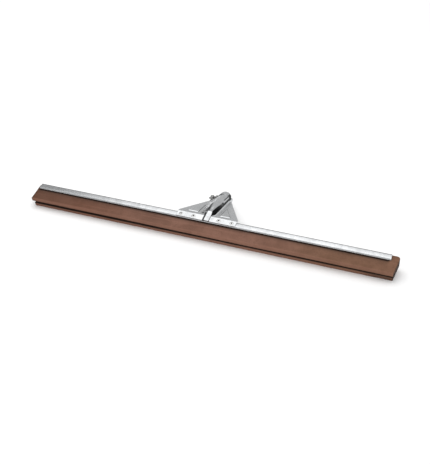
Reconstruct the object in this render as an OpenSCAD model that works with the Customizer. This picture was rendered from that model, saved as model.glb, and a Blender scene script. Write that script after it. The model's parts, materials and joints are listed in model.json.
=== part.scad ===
// Floor squeegee head: two rubber blades in a folded steel channel, with a riveted handle bracket.
// It lies as it was put down: the lower blade's lip and the socket's mouth touch the ground.

/* [Blades] */
// Length of the strips, to the outermost corner
blade_l = 756; // [450:2:1000]
// Width of a strip, from its lip to its back edge
blade_w = 43; // [38:0.5:60]
// Thickness of a strip inside the channel
blade_t = 10; // [8:0.5:13]
// How far the outer face swells at the lip
lip_swell = 0.5; // [0.1:0.1:1.5]
// How far each lip stands off the other strip, measured from the parting plane
lip_part = 1.9; // [0.4:0.1:2.5]
// Plan radius of the strips' back corners
corner_r = 7; // [2:0.5:10]
// How far the upper strip stands out past the channel's left end
overhang_left = 3; // [0:0.5:8]
// How far the strips' back edges stand out past the channel's right end
overhang_right = 16; // [15:0.5:22]
// How far the slanting right end falls back from its back corner to its lip
end_slant = 6; // [0:0.5:8]
// How much shorter the lower strip is at its left end
lower_short = 4; // [0:0.5:6]

/* [Channel] */
// Thickness of the channel's sheet
channel_t = 1.2; // [0.8:0.1:1.4]
// Depth of the channel, from its back to its front lips
channel_d = 14; // [13:0.5:20]
// Outer radius of the channel's folds and front lips
fold_r = 3; // [2.7:0.1:4]
// How deep the front lips press into the rubber
bite = 1; // [0.5:0.1:1.2]

/* [Bracket] */
// Thickness of the bracket's sheet
bracket_t = 1.5; // [1:0.1:2]
// Width of the bracket's base
bracket_w = 124; // [118:1:150]
// Offset of the bracket's middle from the blades' middle
bracket_shift = -1; // [-10:0.5:10]
// Distance of the base's front edge from the channel's front
base_setback = 1; // [0.5:0.5:4]
// Width of the slot under the bead that joins the two flanges
notch_w = 9; // [8.5:0.5:10]
// Outer radius of the bead, which runs from the base's front into the socket
bead_r = 5.3; // [5.1:0.1:5.4]
// Height of the bead's axis over the channel
bead_rise = 0.3; // [0.2:0.1:0.6]
// Inner radius of the bend behind the channel
bend_r = 1.5; // [1:0.1:3]
// Angle by which the bracket bends down behind the channel
bend_angle = 26; // [18:1:32]
// How far each face of the sheet is drawn in along the bend
bend_thinning = 0.05; // [0.03:0.01:0.1]
// Length of a wing's straight end
wing_end = 5; // [2:0.5:10]
// Distance between the wings' tops and the band
wing_gap = 2; // [1:0.5:12]
// Width of a wing's top, beside the socket
wing_tip = 5; // [2:0.5:7]
// Height of the pressed ribs on the wings
rib_h = 1.2; // [0.5:0.1:1.4]
// Margin between a pressed rib and the wing's slanting edge
rib_margin = 14; // [11:0.5:15]
// Distance of the pressed ribs from the bend
rib_start = 8; // [4:0.5:12]
// Distance of the ribs' inner edges from the socket's axis
rib_inner = 23; // [22.5:0.5:28]

/* [Socket] */
// Bore of the socket, for a round handle of 24 mm
bore_d = 24.2; // [23:0.1:26]
// Distance from the bend to the socket's mouth
socket_l = 108; // [107:1:130]
// Distance from the bend to the narrow end of the socket
throat_start = 10; // [6:0.5:16]
// Distance from the bend to the end of the tapered throat
throat_end = 34; // [26:0.5:40]
// Inner diameter of the socket's narrow end
throat_d = 8; // [6:0.5:12]
// Distance from the socket's axis to the foot of its sloping left flank
flank_foot = 20.5; // [18:0.5:21.5]
// Distance from the bend to the lower end of the open seam
seam_start = 2; // [1:0.5:6]
// Angle at which the open seam starts, above the right wing
seam_from = 17; // [13:0.5:20]
// Angle at which the open seam ends
seam_to = 51; // [46:0.5:60]

/* [Rivets] */
// Distance of the outer rivets from the ends of the base
rivet_margin = 9; // [6:0.5:12]
// Distance between the two rivets of one flange
rivet_pitch = 26.5; // [20:0.5:28]
// Distance of the rivets from the channel's back
rivet_back = 6.5; // [6:0.5:7.5]
// Shank diameter of a rivet
rivet_d = 4; // [3.2:0.1:4.4]
// Head diameter of a rivet
rivet_head_d = 8; // [6.5:0.5:9]
// Head height of a rivet
rivet_head_h = 1.6; // [1:0.1:2]
// Diameter of the upset tail
rivet_tail_d = 5.6; // [5:0.1:6]
// Length of the upset tail
rivet_tail_l = 3.2; // [2:0.1:3.6]
// Diameter of the broken-off pin
mandrel_d = 2.2; // [1.6:0.1:2.6]
// How far the pin's broken end lies under the top of the head
mandrel_sink = 0.5; // [0.2:0.1:0.8]
// Diameter of the pin's head, under the tail
mandrel_head_d = 3.8; // [3.2:0.1:4.4]
// Length of the pin's head
mandrel_head_l = 1.2; // [0.8:0.1:1.6]

/* [Clamp] */
// Width of the band, along the socket
band_w = 15; // [12:0.5:15.5]
// Thickness of the band
band_t = 1.5; // [1:0.1:2]
// Angle of the band's right end, under the seam
band_from = 12; // [8:0.5:15]
// Angle of the tab's right edge
tab_from = 28; // [24:0.5:32]
// Angle of the tab's left edge
tab_to = 41; // [36:0.5:45]
// Length of the tab below the band
tab_l = 31; // [20:0.5:40]
// Angle of the left edge of the tab's hooked end
hook_to = 55; // [52:0.5:62]
// Length of the tab's hooked end
hook_l = 9; // [5:0.5:14]
// Width across the flats of the square nut
nut_w = 10; // [9:0.5:12]
// Thickness of the nut, outside the band
nut_t = 5; // [4:0.5:6]
// Diameter of the stud
stud_d = 6; // [5:0.5:6.5]
// Travel of the stud from rest towards the handle
feed_in = 3.5; // [2:0.1:4]
// How far the stud's tip stays behind the bore at rest
tip_back = 0.4; // [0.2:0.1:0.8]
// Diameter of the wing's hub
hub_d = 10; // [9:0.5:12]
// Length of the wing's hub
hub_l = 6; // [5:0.5:8]
// Radius of an ear of the wing
ear_r = 3.8; // [3.4:0.1:4]
// Distance of an ear's middle from the stud's axis
ear_out = 5.5; // [5:0.1:5.8]
// Thickness of an ear
ear_t = 2.4; // [1.6:0.1:3]

/* [Clearances] */
// Room round the channel's front lips in the blades' grooves
groove_room = 0.3; // [0.2:0.05:0.5]
// Room round the rivets' tails in the upper blade
pocket_room = 0.3; // [0.2:0.05:0.5]
// Radial room of a rivet in its holes, and of a pin in its rivet
rivet_room = 0.1; // [0.05:0.05:0.15]
// Radial room of the band on the socket
band_room = 0.2; // [0.1:0.05:0.3]
// Room of the nut's saddle on the band, filled by its weld
weld_room = 0.05; // [0.02:0.01:0.1]
// Radial room of the stud in the nut and in the wing
thread_room = 0.1; // [0.06:0.01:0.1]
// Radial room of the stud in the holes of the socket and the band
hole_room = 0.4; // [0.3:0.1:0.6]
// Room left between the wing and the nut when the stud is fully in
hub_room = 0.7; // [0.5:0.1:1.5]

/* [Hidden] */

$fn = 64;
past = 1; // how far a cut runs past the solid that it cuts
bend_lap = 4; // angle by which the bend runs into the flat sheet
bead_end = 3.6; // how far the bead runs past the channel's back
neck_start = -1; // where the bead's other arm starts, from the bend

// The section frame: X along the blades, Y from the lips to the back, Z square to the blades.
// Y is 0 at the channel's back and Z is 0 on the plane where the two strips meet.
channel_h = blade_t - bite + fold_r; // from the parting plane to the channel's outer face
blade_back = -channel_t;
lip_y = blade_back - blade_w;
lip_z = blade_t + lip_swell;
back_chamfer = fold_r / 2;
channel_from = -blade_l / 2 + overhang_left;
channel_to = blade_l / 2 - overhang_right;
channel_l = channel_to - channel_from;
base_z = channel_h + bracket_t;
base_y = base_setback - channel_d;

// The socket frame starts on the bend's axis and turns down with the bracket.
// Its Y runs along the handle and its Z square to the wings.
axis_z = bend_r + bracket_t / 2;
bore_r = bore_d / 2;
tube_r = bore_r + bracket_t;
throat_r = throat_d / 2;
bead_in_r = bead_r - bracket_t;
band_in_r = tube_r + band_room;
band_r = band_in_r + band_t;
band_start = socket_l - band_w;
wing_top = band_start - wing_gap;
wing_peak = tube_r + wing_tip;
screw_y = socket_l - band_w / 2;
stud_r = stud_d / 2;
tip_r = bore_r + tip_back;
nut_top_r = band_r + nut_t;
hub_start_r = nut_top_r + hub_room + feed_in;
hub_end_r = hub_start_r + hub_l;
ear_mid_r = hub_end_r - hub_l / 4;
seam_reach = 2 * band_r;

// The rivets, from left to right.
rivet_far = bracket_w / 2 - rivet_margin;
rivet_near = rivet_far - rivet_pitch;
rivet_x = [for (d = [-rivet_far, -rivet_near, rivet_near, rivet_far]) bracket_shift + d];
grip = bracket_t + channel_t;
rivet_r = rivet_d / 2;
core_r = mandrel_d / 2 + rivet_room;
head_ball = (pow(rivet_head_d / 2, 2) + pow(rivet_head_h, 2)) / (2 * rivet_head_h);
pocket_depth = grip + rivet_tail_l + mandrel_head_l + pocket_room;

// The rest pose: the section frame tilts until the lower lip and the socket's mouth lie level.
function socket_point(y, z) = [
    y * cos(bend_angle) + z * sin(bend_angle),
    channel_h - bend_r - y * sin(bend_angle) + z * cos(bend_angle),
];
lip_low = [lip_y, -lip_z];
lip_high = [lip_y, lip_z];
mouth_low = socket_point(socket_l, axis_z - band_r);
mouth_high = socket_point(socket_l, axis_z + band_r);
tilt = atan2(lip_low[1] - mouth_low[1], mouth_low[0] - lip_low[0]);
function tilted(p) = [
    p[0] * cos(tilt) - p[1] * sin(tilt),
    p[0] * sin(tilt) + p[1] * cos(tilt),
];
end_lean = atan2(end_slant, blade_w);
mid_x = (corner_r - corner_r / tan(45 - end_lean / 2)) / 2;
mid_y = (tilted(lip_high)[0] + tilted(mouth_high)[0]) / 2;
ground_z = tilted(lip_low)[1];

module at_rest() {
    translate([-mid_x, -mid_y, -ground_z]) rotate([tilt, 0, 0]) children();
}

module socket_frame() {
    translate([bracket_shift, 0, channel_h - bend_r]) rotate([-bend_angle, 0, 0]) children();
}

// The socket's own axis, with Z running out of the mouth and the angle 0 on the right wing.
module socket_axis() {
    socket_frame() translate([0, 0, axis_z]) rotate([-90, 0, 0]) mirror([0, 1, 0]) children();
}

// The stud's axis, with Z running out to the left of the socket.
module screw_axis() {
    socket_frame() translate([0, screw_y, axis_z]) rotate([0, -90, 0]) children();
}

// A wedge of the socket between two angles, from one height to another.
module wedge(from, to, low, high) {
    arc = [for (k = [0:4]) from + (to - from) * k / 4];
    outline = concat([[0, 0]], [for (a = arc) seam_reach * [cos(a), sin(a)]]);
    translate([0, 0, low]) linear_extrude(high - low) polygon(outline);
}

// Section of the upper strip, as [Y, Z] points.
module blade_section() {
    front = -channel_d;
    polygon([
        [lip_y, lip_part],
        [lip_y, lip_z],
        [front, blade_t],
        [blade_back - back_chamfer, blade_t],
        [blade_back, blade_t - back_chamfer],
        [blade_back, 0],
        [front, 0],
    ]);
}

module along_x(from, length) {
    translate([from, 0, 0]) rotate([90, 0, 90]) linear_extrude(length) children();
}

// What is cut off a strip at its right end, which slants from the back corner to the lip.
module end_cut() {
    slope = end_slant / blade_w;
    over = 2 * past;
    translate([blade_l / 2, blade_back, -past]) linear_extrude(lip_z + 2 * past) polygon([
        [over * slope, over],
        [corner_r, over],
        [corner_r, -blade_w - over],
        [-(blade_w + over) * slope, -blade_w - over],
    ]);
}

// What is cut off a strip to round one back corner in plan, where the end leans by the given angle.
module corner_cut(x, lean) {
    open = (90 - lean) / 2;
    run = corner_r / tan(open);
    reach = corner_r / sin(open);
    translate([x, blade_back, -past]) linear_extrude(lip_z + 2 * past) difference() {
        polygon([
            [-run, 0],
            [-run, past],
            [past, past],
            [past, -run * cos(lean)],
            [-run * sin(lean), -run * cos(lean)],
            [-reach * cos(open), -reach * sin(open)],
        ]);
        translate([-reach * cos(open), -reach * sin(open)]) circle(r = corner_r);
    }
}

// A strip, shortened at its left end.
module blade(short) {
    from = -blade_l / 2 + short;
    difference() {
        along_x(from, blade_l / 2 - from) blade_section();
        end_cut();
        corner_cut(blade_l / 2, end_lean);
        mirror([1, 0, 0]) corner_cut(-from, 0);
        translate([channel_from - groove_room, -channel_d - groove_room, blade_t - bite])
            cube([channel_l + 2 * groove_room, channel_t + 2 * groove_room, bite + lip_swell + past]);
    }
}

module upper_blade() {
    color("#7d5f4e") at_rest() difference() {
        blade(0);
        for (x = rivet_x) translate([x, -rivet_back, base_z - pocket_depth])
            cylinder(d = rivet_tail_d + 2 * pocket_room, h = pocket_depth);
    }
}

module lower_blade() {
    color("#74574a") at_rest() mirror([0, 0, 1]) blade(lower_short);
}

// A quarter of a tube along the channel, with its middle at [y, z] and starting at the given angle.
module fold(y, z, start) {
    translate([channel_from, y, z]) rotate([90, 0, 90]) rotate([0, 0, start])
        linear_extrude(channel_l) intersection() {
            difference() {
                circle(r = fold_r);
                circle(r = fold_r - channel_t);
            }
            square(fold_r);
        }
}

module half_channel() {
    flat_d = channel_d - 2 * fold_r;
    fold_z = channel_h - fold_r;
    translate([channel_from, -fold_r - flat_d, channel_h - channel_t]) cube([channel_l, flat_d, channel_t]);
    fold(-fold_r, fold_z, 0);
    fold(fold_r - channel_d, fold_z, 90);
    translate([channel_from, -channel_t, 0]) cube([channel_l, channel_t, fold_z]);
}

module channel() {
    color("#d9dbdc") at_rest() difference() {
        union() {
            half_channel();
            mirror([0, 0, 1]) half_channel();
        }
        rivet_holes(channel_h - channel_t);
    }
}

// The four rivets' holes, from a given height up.
module rivet_holes(from) {
    for (x = rivet_x) translate([x, -rivet_back, from - past / 2])
        cylinder(r = rivet_r + rivet_room, h = grip + past);
}

// A flange of the base with its bend, which is drawn in a little all round and runs into the flat sheet.
module base_flange(from, length) {
    translate([bracket_shift + from, base_y, channel_h]) cube([length, -base_y, bracket_t]);
    translate([bracket_shift + from, 0, channel_h - bend_r]) rotate([0, 90, 0])
        rotate([0, 0, 180 - bend_angle - bend_lap]) rotate_extrude(angle = bend_angle + 2 * bend_lap)
            translate([bend_r + bend_thinning, bend_thinning])
                square([bracket_t - 2 * bend_thinning, length - 2 * bend_thinning]);
}

// The right wing's outline, as [X, Y] points of the socket frame.
function wing_outline() = [
    [notch_w / 2, 0],
    [bracket_w / 2, 0],
    [bracket_w / 2, wing_end],
    [wing_peak, wing_top],
    [notch_w / 2, wing_top],
];

// The pressed rib's outline: the wing's triangle, drawn in by the margins and a further inset.
function rib_outline(inset) =
    let (
        run = [bracket_w / 2 - wing_peak, wing_top - wing_end],
        slant = (rib_margin + inset) * norm(run),
        inner = rib_inner + inset,
        start = rib_start + inset,
        foot = bracket_w / 2 - (slant + (start - wing_end) * run[0]) / run[1],
        peak = wing_end + ((bracket_w / 2 - inner) * run[1] - slant) / run[0]
    ) [[inner, start], [foot, start], [inner, peak]];

module rib(low, high, inset) {
    translate([0, 0, low]) linear_extrude(high - low) polygon(rib_outline(inset));
}

// A wing, with its rib pressed up from below so that the sheet keeps its wall.
module wing(side) {
    socket_frame() mirror([side < 0 ? 1 : 0, 0, 0]) difference() {
        union() {
            translate([0, 0, bend_r]) linear_extrude(bracket_t) polygon(wing_outline());
            rib(bend_r, bend_r + bracket_t + rib_h, 0);
        }
        rib(bend_r - past, bend_r + rib_h, bracket_t);
    }
}

// The bead along the base, of a given radius and drawn out by a given length at both ends.
module base_bead(radius, extra) {
    translate([bracket_shift, bead_end + extra, channel_h + bead_rise]) rotate([90, 0, 0])
        linear_extrude(bead_end - base_y + 2 * extra) intersection() {
            circle(r = radius);
            translate([-bead_r - past, extra > 0 ? -bead_r - past : 0]) square([2 * bead_r + 2 * past, 2 * bead_r + 2 * past]);
        }
}

// The bead's other arm, from the bend to the socket's throat.
module neck(radius, extra) {
    translate([0, 0, neck_start - extra])
        linear_extrude(throat_start - neck_start + past + extra) intersection() {
            circle(r = radius);
            translate([-bead_r - past, extra > 0 ? -bead_r - past : 0]) square([2 * bead_r + 2 * past, 2 * bead_r + 2 * past]);
        }
}

module socket_shell() {
    translate([0, 0, throat_start])
        cylinder(r1 = throat_r + bracket_t, r2 = tube_r, h = throat_end - throat_start);
    translate([0, 0, throat_end]) cylinder(r = tube_r, h = socket_l - throat_end);
}

// The sheet that slopes from the left wing up to the side of the shell.
module flank() {
    foot = [-flank_foot, bracket_t / 2];
    reach = tube_r - bracket_t / 4;
    lean = 180 - atan2(foot[1], flank_foot) - acos(reach / norm(foot));
    out = [cos(lean), sin(lean)];
    translate([0, 0, throat_end]) linear_extrude(wing_top - throat_end)
        polygon([foot, reach * out, (tube_r - bracket_t / 2) * out, foot - bracket_t * out]);
}

module socket_hollow() {
    slope = (bore_r - throat_r) / (throat_end - throat_start);
    translate([0, 0, throat_start - past])
        cylinder(r1 = throat_r - past * slope, r2 = bore_r, h = throat_end - throat_start + past);
    translate([0, 0, throat_end]) cylinder(r = bore_r, h = socket_l - throat_end + past);
}

module handle_bracket() {
    flange_l = (bracket_w - notch_w) / 2;
    color("#c3c6c8") at_rest() difference() {
        union() {
            base_flange(-bracket_w / 2, flange_l);
            base_flange(notch_w / 2, flange_l);
            for (side = [-1, 1]) wing(side);
            base_bead(bead_r, 0);
            socket_axis() {
                neck(bead_r, 0);
                socket_shell();
                flank();
            }
        }
        base_bead(bead_in_r, past);
        socket_axis() {
            neck(bead_in_r, past);
            socket_hollow();
            wedge(seam_from, seam_to, seam_start, socket_l + past);
        }
        screw_axis() cylinder(r = stud_r + hole_room, h = band_r);
        rivet_holes(channel_h);
    }
}

module rivet(k) {
    color("#cfd1d2") at_rest() translate([rivet_x[k - 1], -rivet_back, base_z]) difference() {
        union() {
            intersection() {
                translate([0, 0, rivet_head_h - head_ball]) sphere(r = head_ball);
                cylinder(d = rivet_head_d, h = rivet_head_h);
            }
            translate([0, 0, -grip]) cylinder(r = rivet_r, h = grip);
            translate([0, 0, -grip - rivet_tail_l]) cylinder(d = rivet_tail_d, h = rivet_tail_l);
        }
        translate([0, 0, -pocket_depth]) cylinder(r = core_r, h = pocket_depth + rivet_head_h + past);
    }
}

module mandrel(k) {
    stem = rivet_head_h - mandrel_sink + grip + rivet_tail_l;
    color("#4a4744") at_rest() translate([rivet_x[k - 1], -rivet_back, base_z - grip - rivet_tail_l]) {
        cylinder(d = mandrel_d, h = stem);
        translate([0, 0, -mandrel_head_l]) cylinder(d = mandrel_head_d, h = mandrel_head_l);
    }
}

module clamp_band() {
    tab_end = band_start - tab_l;
    quarter = (360 + tab_from - hook_to) / 4;
    color("#b9bcbe") at_rest() difference() {
        socket_axis() difference() {
            translate([0, 0, tab_end]) cylinder(r = band_r, h = band_w + tab_l);
            translate([0, 0, tab_end - past]) cylinder(r = band_in_r, h = band_w + tab_l + 2 * past);
            wedge(band_from, tab_from, tab_end - past, socket_l + past);
            wedge(tab_to, hook_to, tab_end + hook_l, band_start);
            for (k = [0:3]) wedge(hook_to + k * quarter, hook_to + (k + 1) * quarter, tab_end - past, band_start);
        }
        screw_axis() cylinder(r = stud_r + hole_room, h = band_r + past);
    }
}

module clamp_nut() {
    color("#a9a9a4") at_rest() difference() {
        screw_axis() translate([-nut_w / 2, -nut_w / 2, tube_r]) cube([nut_w, nut_w, nut_top_r - tube_r]);
        socket_axis() translate([0, 0, band_start - past]) cylinder(r = band_r + weld_room, h = band_w + 2 * past);
        screw_axis() cylinder(r = stud_r + thread_room, h = nut_top_r + past);
    }
}

module clamp_stud() {
    color("#9c9c96") at_rest() screw_axis() translate([0, 0, tip_r]) cylinder(r = stud_r, h = hub_end_r - tip_r);
}

module clamp_wing() {
    color("#a6a6a0") at_rest() screw_axis() difference() {
        union() {
            translate([0, 0, hub_start_r]) cylinder(d = hub_d, h = hub_l);
            for (side = [-1, 1]) translate([-ear_t / 2, side * ear_out, ear_mid_r]) rotate([0, 90, 0])
                cylinder(r = ear_r, h = ear_t);
        }
        translate([0, 0, hub_start_r - past]) cylinder(r = stud_r + thread_room, h = hub_l + ear_r + 2 * past);
    }
}

upper_blade();
lower_blade();
channel();
handle_bracket();
rivet(1);  // rivet_1
rivet(2);  // rivet_2
rivet(3);  // rivet_3
rivet(4);  // rivet_4
mandrel(1);  // mandrel_1
mandrel(2);  // mandrel_2
mandrel(3);  // mandrel_3
mandrel(4);  // mandrel_4
clamp_band();
clamp_nut();
clamp_stud();
clamp_wing();
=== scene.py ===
"""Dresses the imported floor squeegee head: rubber strips, folded channel, pressed bracket, rivets and clamp.

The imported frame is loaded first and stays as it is. Each operator builds one piece, or one group of like
pieces, at its place in the frame. Lengths are in metres.
"""

import json
import math

import bmesh
import bpy
import numpy as np
from bpy.props import FloatProperty, FloatVectorProperty, PointerProperty
from mathutils import Matrix, Vector


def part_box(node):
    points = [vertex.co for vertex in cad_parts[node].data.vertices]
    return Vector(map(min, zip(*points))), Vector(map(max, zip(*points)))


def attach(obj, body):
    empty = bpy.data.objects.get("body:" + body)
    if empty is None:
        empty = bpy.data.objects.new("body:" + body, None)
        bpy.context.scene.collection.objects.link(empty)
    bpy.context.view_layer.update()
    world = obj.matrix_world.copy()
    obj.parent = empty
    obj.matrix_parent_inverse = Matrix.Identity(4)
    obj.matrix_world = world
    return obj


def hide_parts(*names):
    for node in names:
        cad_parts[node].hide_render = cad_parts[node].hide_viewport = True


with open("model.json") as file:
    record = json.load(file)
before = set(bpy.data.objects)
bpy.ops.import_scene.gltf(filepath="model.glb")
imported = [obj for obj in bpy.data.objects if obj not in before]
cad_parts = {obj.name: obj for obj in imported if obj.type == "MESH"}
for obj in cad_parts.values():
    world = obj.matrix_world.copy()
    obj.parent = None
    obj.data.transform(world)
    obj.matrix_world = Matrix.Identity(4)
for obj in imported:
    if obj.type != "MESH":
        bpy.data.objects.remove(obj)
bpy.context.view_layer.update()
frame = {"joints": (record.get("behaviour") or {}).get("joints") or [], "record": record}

bl_info = {
    "name": "Floor squeegee head",
    "version": (1, 0, 0),
    "blender": (4, 5, 0),
    "location": "View3D > Sidebar > Squeegee",
    "description": "Builds the strips, channel, bracket, rivets and clamp of a floor squeegee head",
    "category": "Object",
}

MM = 0.001

# The socket's directions come from the handle's mount: along X, out of the mouth, and square to the wings.
MOUNT = frame["record"]["mounts"][0]
ALONG = np.array((1.0, 0.0, 0.0))
OUTWARD = np.array(MOUNT["axis"])
SQUARE = np.cross(ALONG, OUTWARD)
SCREW_AT = np.array(next(j["pos_m"] for j in frame["joints"] if j["name"] == "wing_turn"))
RIVETS = ("rivet_1", "rivet_2", "rivet_3", "rivet_4")
PINS = ("mandrel_1", "mandrel_2", "mandrel_3", "mandrel_4")


def length(label, text, millimetres):
    return FloatProperty(name=label, description=text, default=millimetres * MM, unit="LENGTH", precision=5)


def angle(label, text, degrees):
    return FloatProperty(name=label, description=text, default=math.radians(degrees), unit="ROTATION")


def colour(label, text, rgb):
    kind = {"size": 3, "min": 0.0, "max": 1.0, "subtype": "COLOR"}
    return FloatVectorProperty(name=label, description=text, default=rgb, **kind)


class SqueegeeSizes(bpy.types.PropertyGroup):
    """Sizes of the pieces, as the real object has them"""

    lip_y: length("Lip", "Distance of the lips from the channel's back", 44.2)
    strip_t: length("Strip", "Thickness of a strip inside the channel", 10.0)
    strip_back: length("Strip back", "Distance of a strip's back edge from the channel's back", 1.2)
    lip_t: length("Lip height", "Distance of a lip's outer edge from the parting plane", 10.5)
    lip_part: length("Lip gap", "Distance of a lip's inner edge from the parting plane", 2.0)
    lip_r: length("Lip radius", "Radius of the strips' edges", 0.6)
    lip_wave: length("Lip wave", "How far the lips wander from a straight line", 0.35)
    corner_r: length("Corner radius", "Plan radius of the strips' back corners", 7.0)
    end_slant: length("End slant", "How far the right end falls back from its back corner to its lip", 6.0)
    lip_close: length("Lip closing", "How much nearer each lip comes to the other from left to right", 1.2)
    crease: length("Crease", "Depth of the crease where the channel's lip presses the rubber", 2.2)

    channel_d: length("Channel depth", "From the channel's back to its front lips", 14.0)
    channel_h: length("Channel height", "From the parting plane to the channel's outer face", 12.0)
    channel_t: length("Channel sheet", "Thickness of the channel's sheet", 1.2)
    fold_r: length("Fold radius", "Outer radius of the channel's folds", 3.0)

    sheet_t: length("Bracket sheet", "Thickness of the bracket's sheet", 1.5)
    base_y: length("Base front", "Distance of the base's front edge from the channel's back", 13.0)
    base_w: length("Base half width", "From the bracket's middle to the end of its base", 62.0)
    notch: length("Notch half width", "From the bracket's middle to the side of its notch", 4.5)
    bead_h: length("Bead height", "Height of the flat bead between the flanges", 1.2)
    groove: length("Groove depth", "Depth of the dark groove along the bead's left side", 0.9)
    bead_foot: length("Bead foot", "From the bracket's middle to the bead's left foot", 6.8)
    bead_left: length("Bead left edge", "From the bracket's middle to the flat top's left edge", 2.8)
    bead_right: length("Bead right edge", "From the bracket's middle to the flat top's right edge", 7.2)
    bend_r: length("Bend radius", "Inner radius of the bend behind the channel", 1.5)
    bend: angle("Bend", "Angle by which the bracket bends down", 26.0)
    wing_end: length("Wing end", "Length of a wing's straight end", 5.0)
    wing_top: length("Wing top", "Distance from the bend to the wings' tops", 91.0)
    wing_peak: length("Wing peak", "Half width of the bracket at the wings' tops", 18.6)
    rib_h: length("Rib height", "Height of the pressed ribs", 1.2)
    rib_margin: length("Rib margin", "Margin between a rib and the wing's slanting edge", 14.0)
    rib_start: length("Rib start", "Distance of the ribs from the bend", 8.0)
    rib_inner: length("Rib inner edge", "Distance of the ribs from the socket's axis", 23.0)

    socket_l: length("Socket length", "Distance from the bend to the socket's mouth", 108.0)
    throat_start: length("Throat start", "Distance from the bend to the socket's narrow end", 10.0)
    throat_end: length("Throat end", "Distance from the bend to the end of the taper", 34.0)
    throat_r: length("Throat radius", "Outer radius of the socket's narrow end", 5.5)
    tube_r: length("Tube radius", "Outer radius of the socket", 13.6)
    flank: length("Flank foot", "Distance of the left flank's foot from the socket's axis", 20.5)
    flank_low: length("Flank start", "Distance of the flank's foot from the axis at the bend", 15.5)
    flank_rise: length("Flank rise", "Height of the flank beside the bead's upper end", 2.0)
    seam_low: length("Seam edge, low", "Distance of the seam's right edge from the axis at the bend", 15.1)
    seam_high: length("Seam edge, high", "Distance of the seam's right edge from the axis at the mouth", 13.4)
    seam_lip: length("Seam lip", "Height of the right wing's edge beside the seam", 2.6)
    seam_to: angle("Seam end", "Angle of the seam's left edge above the right wing", 51.0)

    rivet_back: length("Rivet row", "Distance of the rivets from the channel's back", 6.5)
    rivet_r: length("Rivet head", "Radius of a rivet's head", 4.0)
    rivet_h: length("Rivet height", "Height of a rivet's head", 0.7)
    pin_r: length("Pin radius", "Radius of the dark pin and its dirty hole", 1.55)

    band_in: length("Band radius", "Inner radius of the band", 13.8)
    band_t: length("Band sheet", "Thickness of the band", 1.5)
    band_w: length("Band width", "Width of the band along the socket", 15.0)
    band_from: angle("Band end", "Angle of the band's right end", 12.0)
    tab_from: angle("Tab right edge", "Angle of the tab's right edge", 32.0)
    tab_to: angle("Tab left edge", "Angle of the tab's left edge", 44.0)
    tab_l: length("Tab length", "Length of the tab below the band", 31.0)
    hook_to: angle("Hook edge", "Angle of the left edge of the tab's hooked end", 55.0)
    hook_l: length("Hook length", "Length of the tab's hooked end", 9.0)

    nut_w: length("Nut half width", "From the stud's axis to a flat of the nut", 5.0)
    nut_top: length("Nut top", "Distance of the nut's top from the socket's axis", 20.3)
    stud_r: length("Stud radius", "Radius over the stud's thread", 3.0)
    stud_tip: length("Stud tip", "Distance of the stud's tip from the socket's axis", 12.5)
    pitch: length("Thread pitch", "Rise of the thread in one turn", 1.0)
    hub_from: length("Hub start", "Distance of the wing's hub from the socket's axis", 24.5)
    hub_to: length("Hub end", "Distance of the hub's outer end from the socket's axis", 30.5)
    hub_r: length("Hub radius", "Radius of the wing's hub", 5.0)
    ear_r: length("Ear radius", "Radius of an ear of the wing", 3.8)
    ear_out: length("Ear reach", "Distance of an ear's middle from the stud's axis", 5.5)
    ear_t: length("Ear thickness", "Thickness of an ear", 2.4)


class SqueegeeFinishes(bpy.types.PropertyGroup):
    """Colours of the finishes and of the stage, scene linear"""

    rubber: colour("Rubber", "Cellular rubber of the strips", (0.222, 0.109, 0.074))
    # Besides the pores, this colour paints shade in the parting and under the channel's lip, and darkens the
    # left end and both end faces
    rubber_dark: colour("Rubber pores", "Pores and dirt in the rubber", (0.075, 0.036, 0.022))
    rubber_left: colour("Rubber, left", "Tint of the rubber at the left end", (1.0, 0.9, 0.82))
    rubber_right: colour("Rubber, right", "Tint of the rubber at the right end", (0.86, 0.87, 0.75))
    zinc: colour("Galvanised sheet", "Zinc skin of the channel, bracket and band", (0.61, 0.62, 0.63))
    zinc_dull: colour("Dull zinc", "Duller grains of the zinc skin", (0.47, 0.48, 0.49))
    rivet: colour("Rivet", "Plated rivet heads", (0.60, 0.60, 0.59))
    pin: colour("Pin", "Broken pins in the rivets", (0.09, 0.09, 0.09))
    plated: colour("Plated screw", "Nut, stud and wing", (0.40, 0.40, 0.395))
    floor: colour("Floor", "The plain pale floor", (0.97, 0.97, 0.97))


class Places:
    """Turns a piece's own coordinates into the frame's."""

    def __init__(self, size):
        self.back = OUTWARD * math.cos(size.bend) + SQUARE * math.sin(size.bend)
        self.up = SQUARE * math.cos(size.bend) - OUTWARD * math.sin(size.bend)
        rise = size.bend_r + size.sheet_t / 2
        half = MOUNT["dims"]["length_mm"] * MM / 2
        self.bend_axis = np.array(MOUNT["pos_m"]) - OUTWARD * (size.throat_end + half) - SQUARE * rise
        self.mid = self.bend_axis - self.up * (size.channel_h - size.bend_r)
        self.mid[0] = 0.0
        self.axis = self.bend_axis + SQUARE * rise

    def section(self, x, y, z):
        """A point of the blades' section: y from the lips to the channel's back, z square to the strips."""
        x, y, z = (np.asarray(q, float)[..., None] for q in (x, y, z))
        return self.mid + x * ALONG + y * self.back + z * self.up

    def round_socket(self, radius, turn, s):
        """A point round the socket's axis, at a turn above the right wing and s out from the bend."""
        radius, turn, s = (np.asarray(q, float)[..., None] for q in (radius, turn, s))
        return self.axis + radius * (np.cos(turn) * ALONG + np.sin(turn) * SQUARE) + s * OUTWARD


def from_screw(reach, a, b):
    """A point near the stud: reach out from the socket's axis, a along the socket, b square to the wings."""
    reach, a, b = (np.asarray(q, float)[..., None] for q in (reach, a, b))
    return SCREW_AT - reach * ALONG + a * OUTWARD + b * SQUARE


def ease(low, high, x):
    """0 up to low and 1 from high, with a smooth rise between."""
    t = np.clip((np.asarray(x, float) - low) / (high - low), 0.0, 1.0)
    return t * t * (3 - 2 * t)


def hump(a, b, c, d, x):
    """0 up to a, 1 from b to c and 0 again from d."""
    return ease(a, b, x) - ease(c, d, x)


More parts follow.
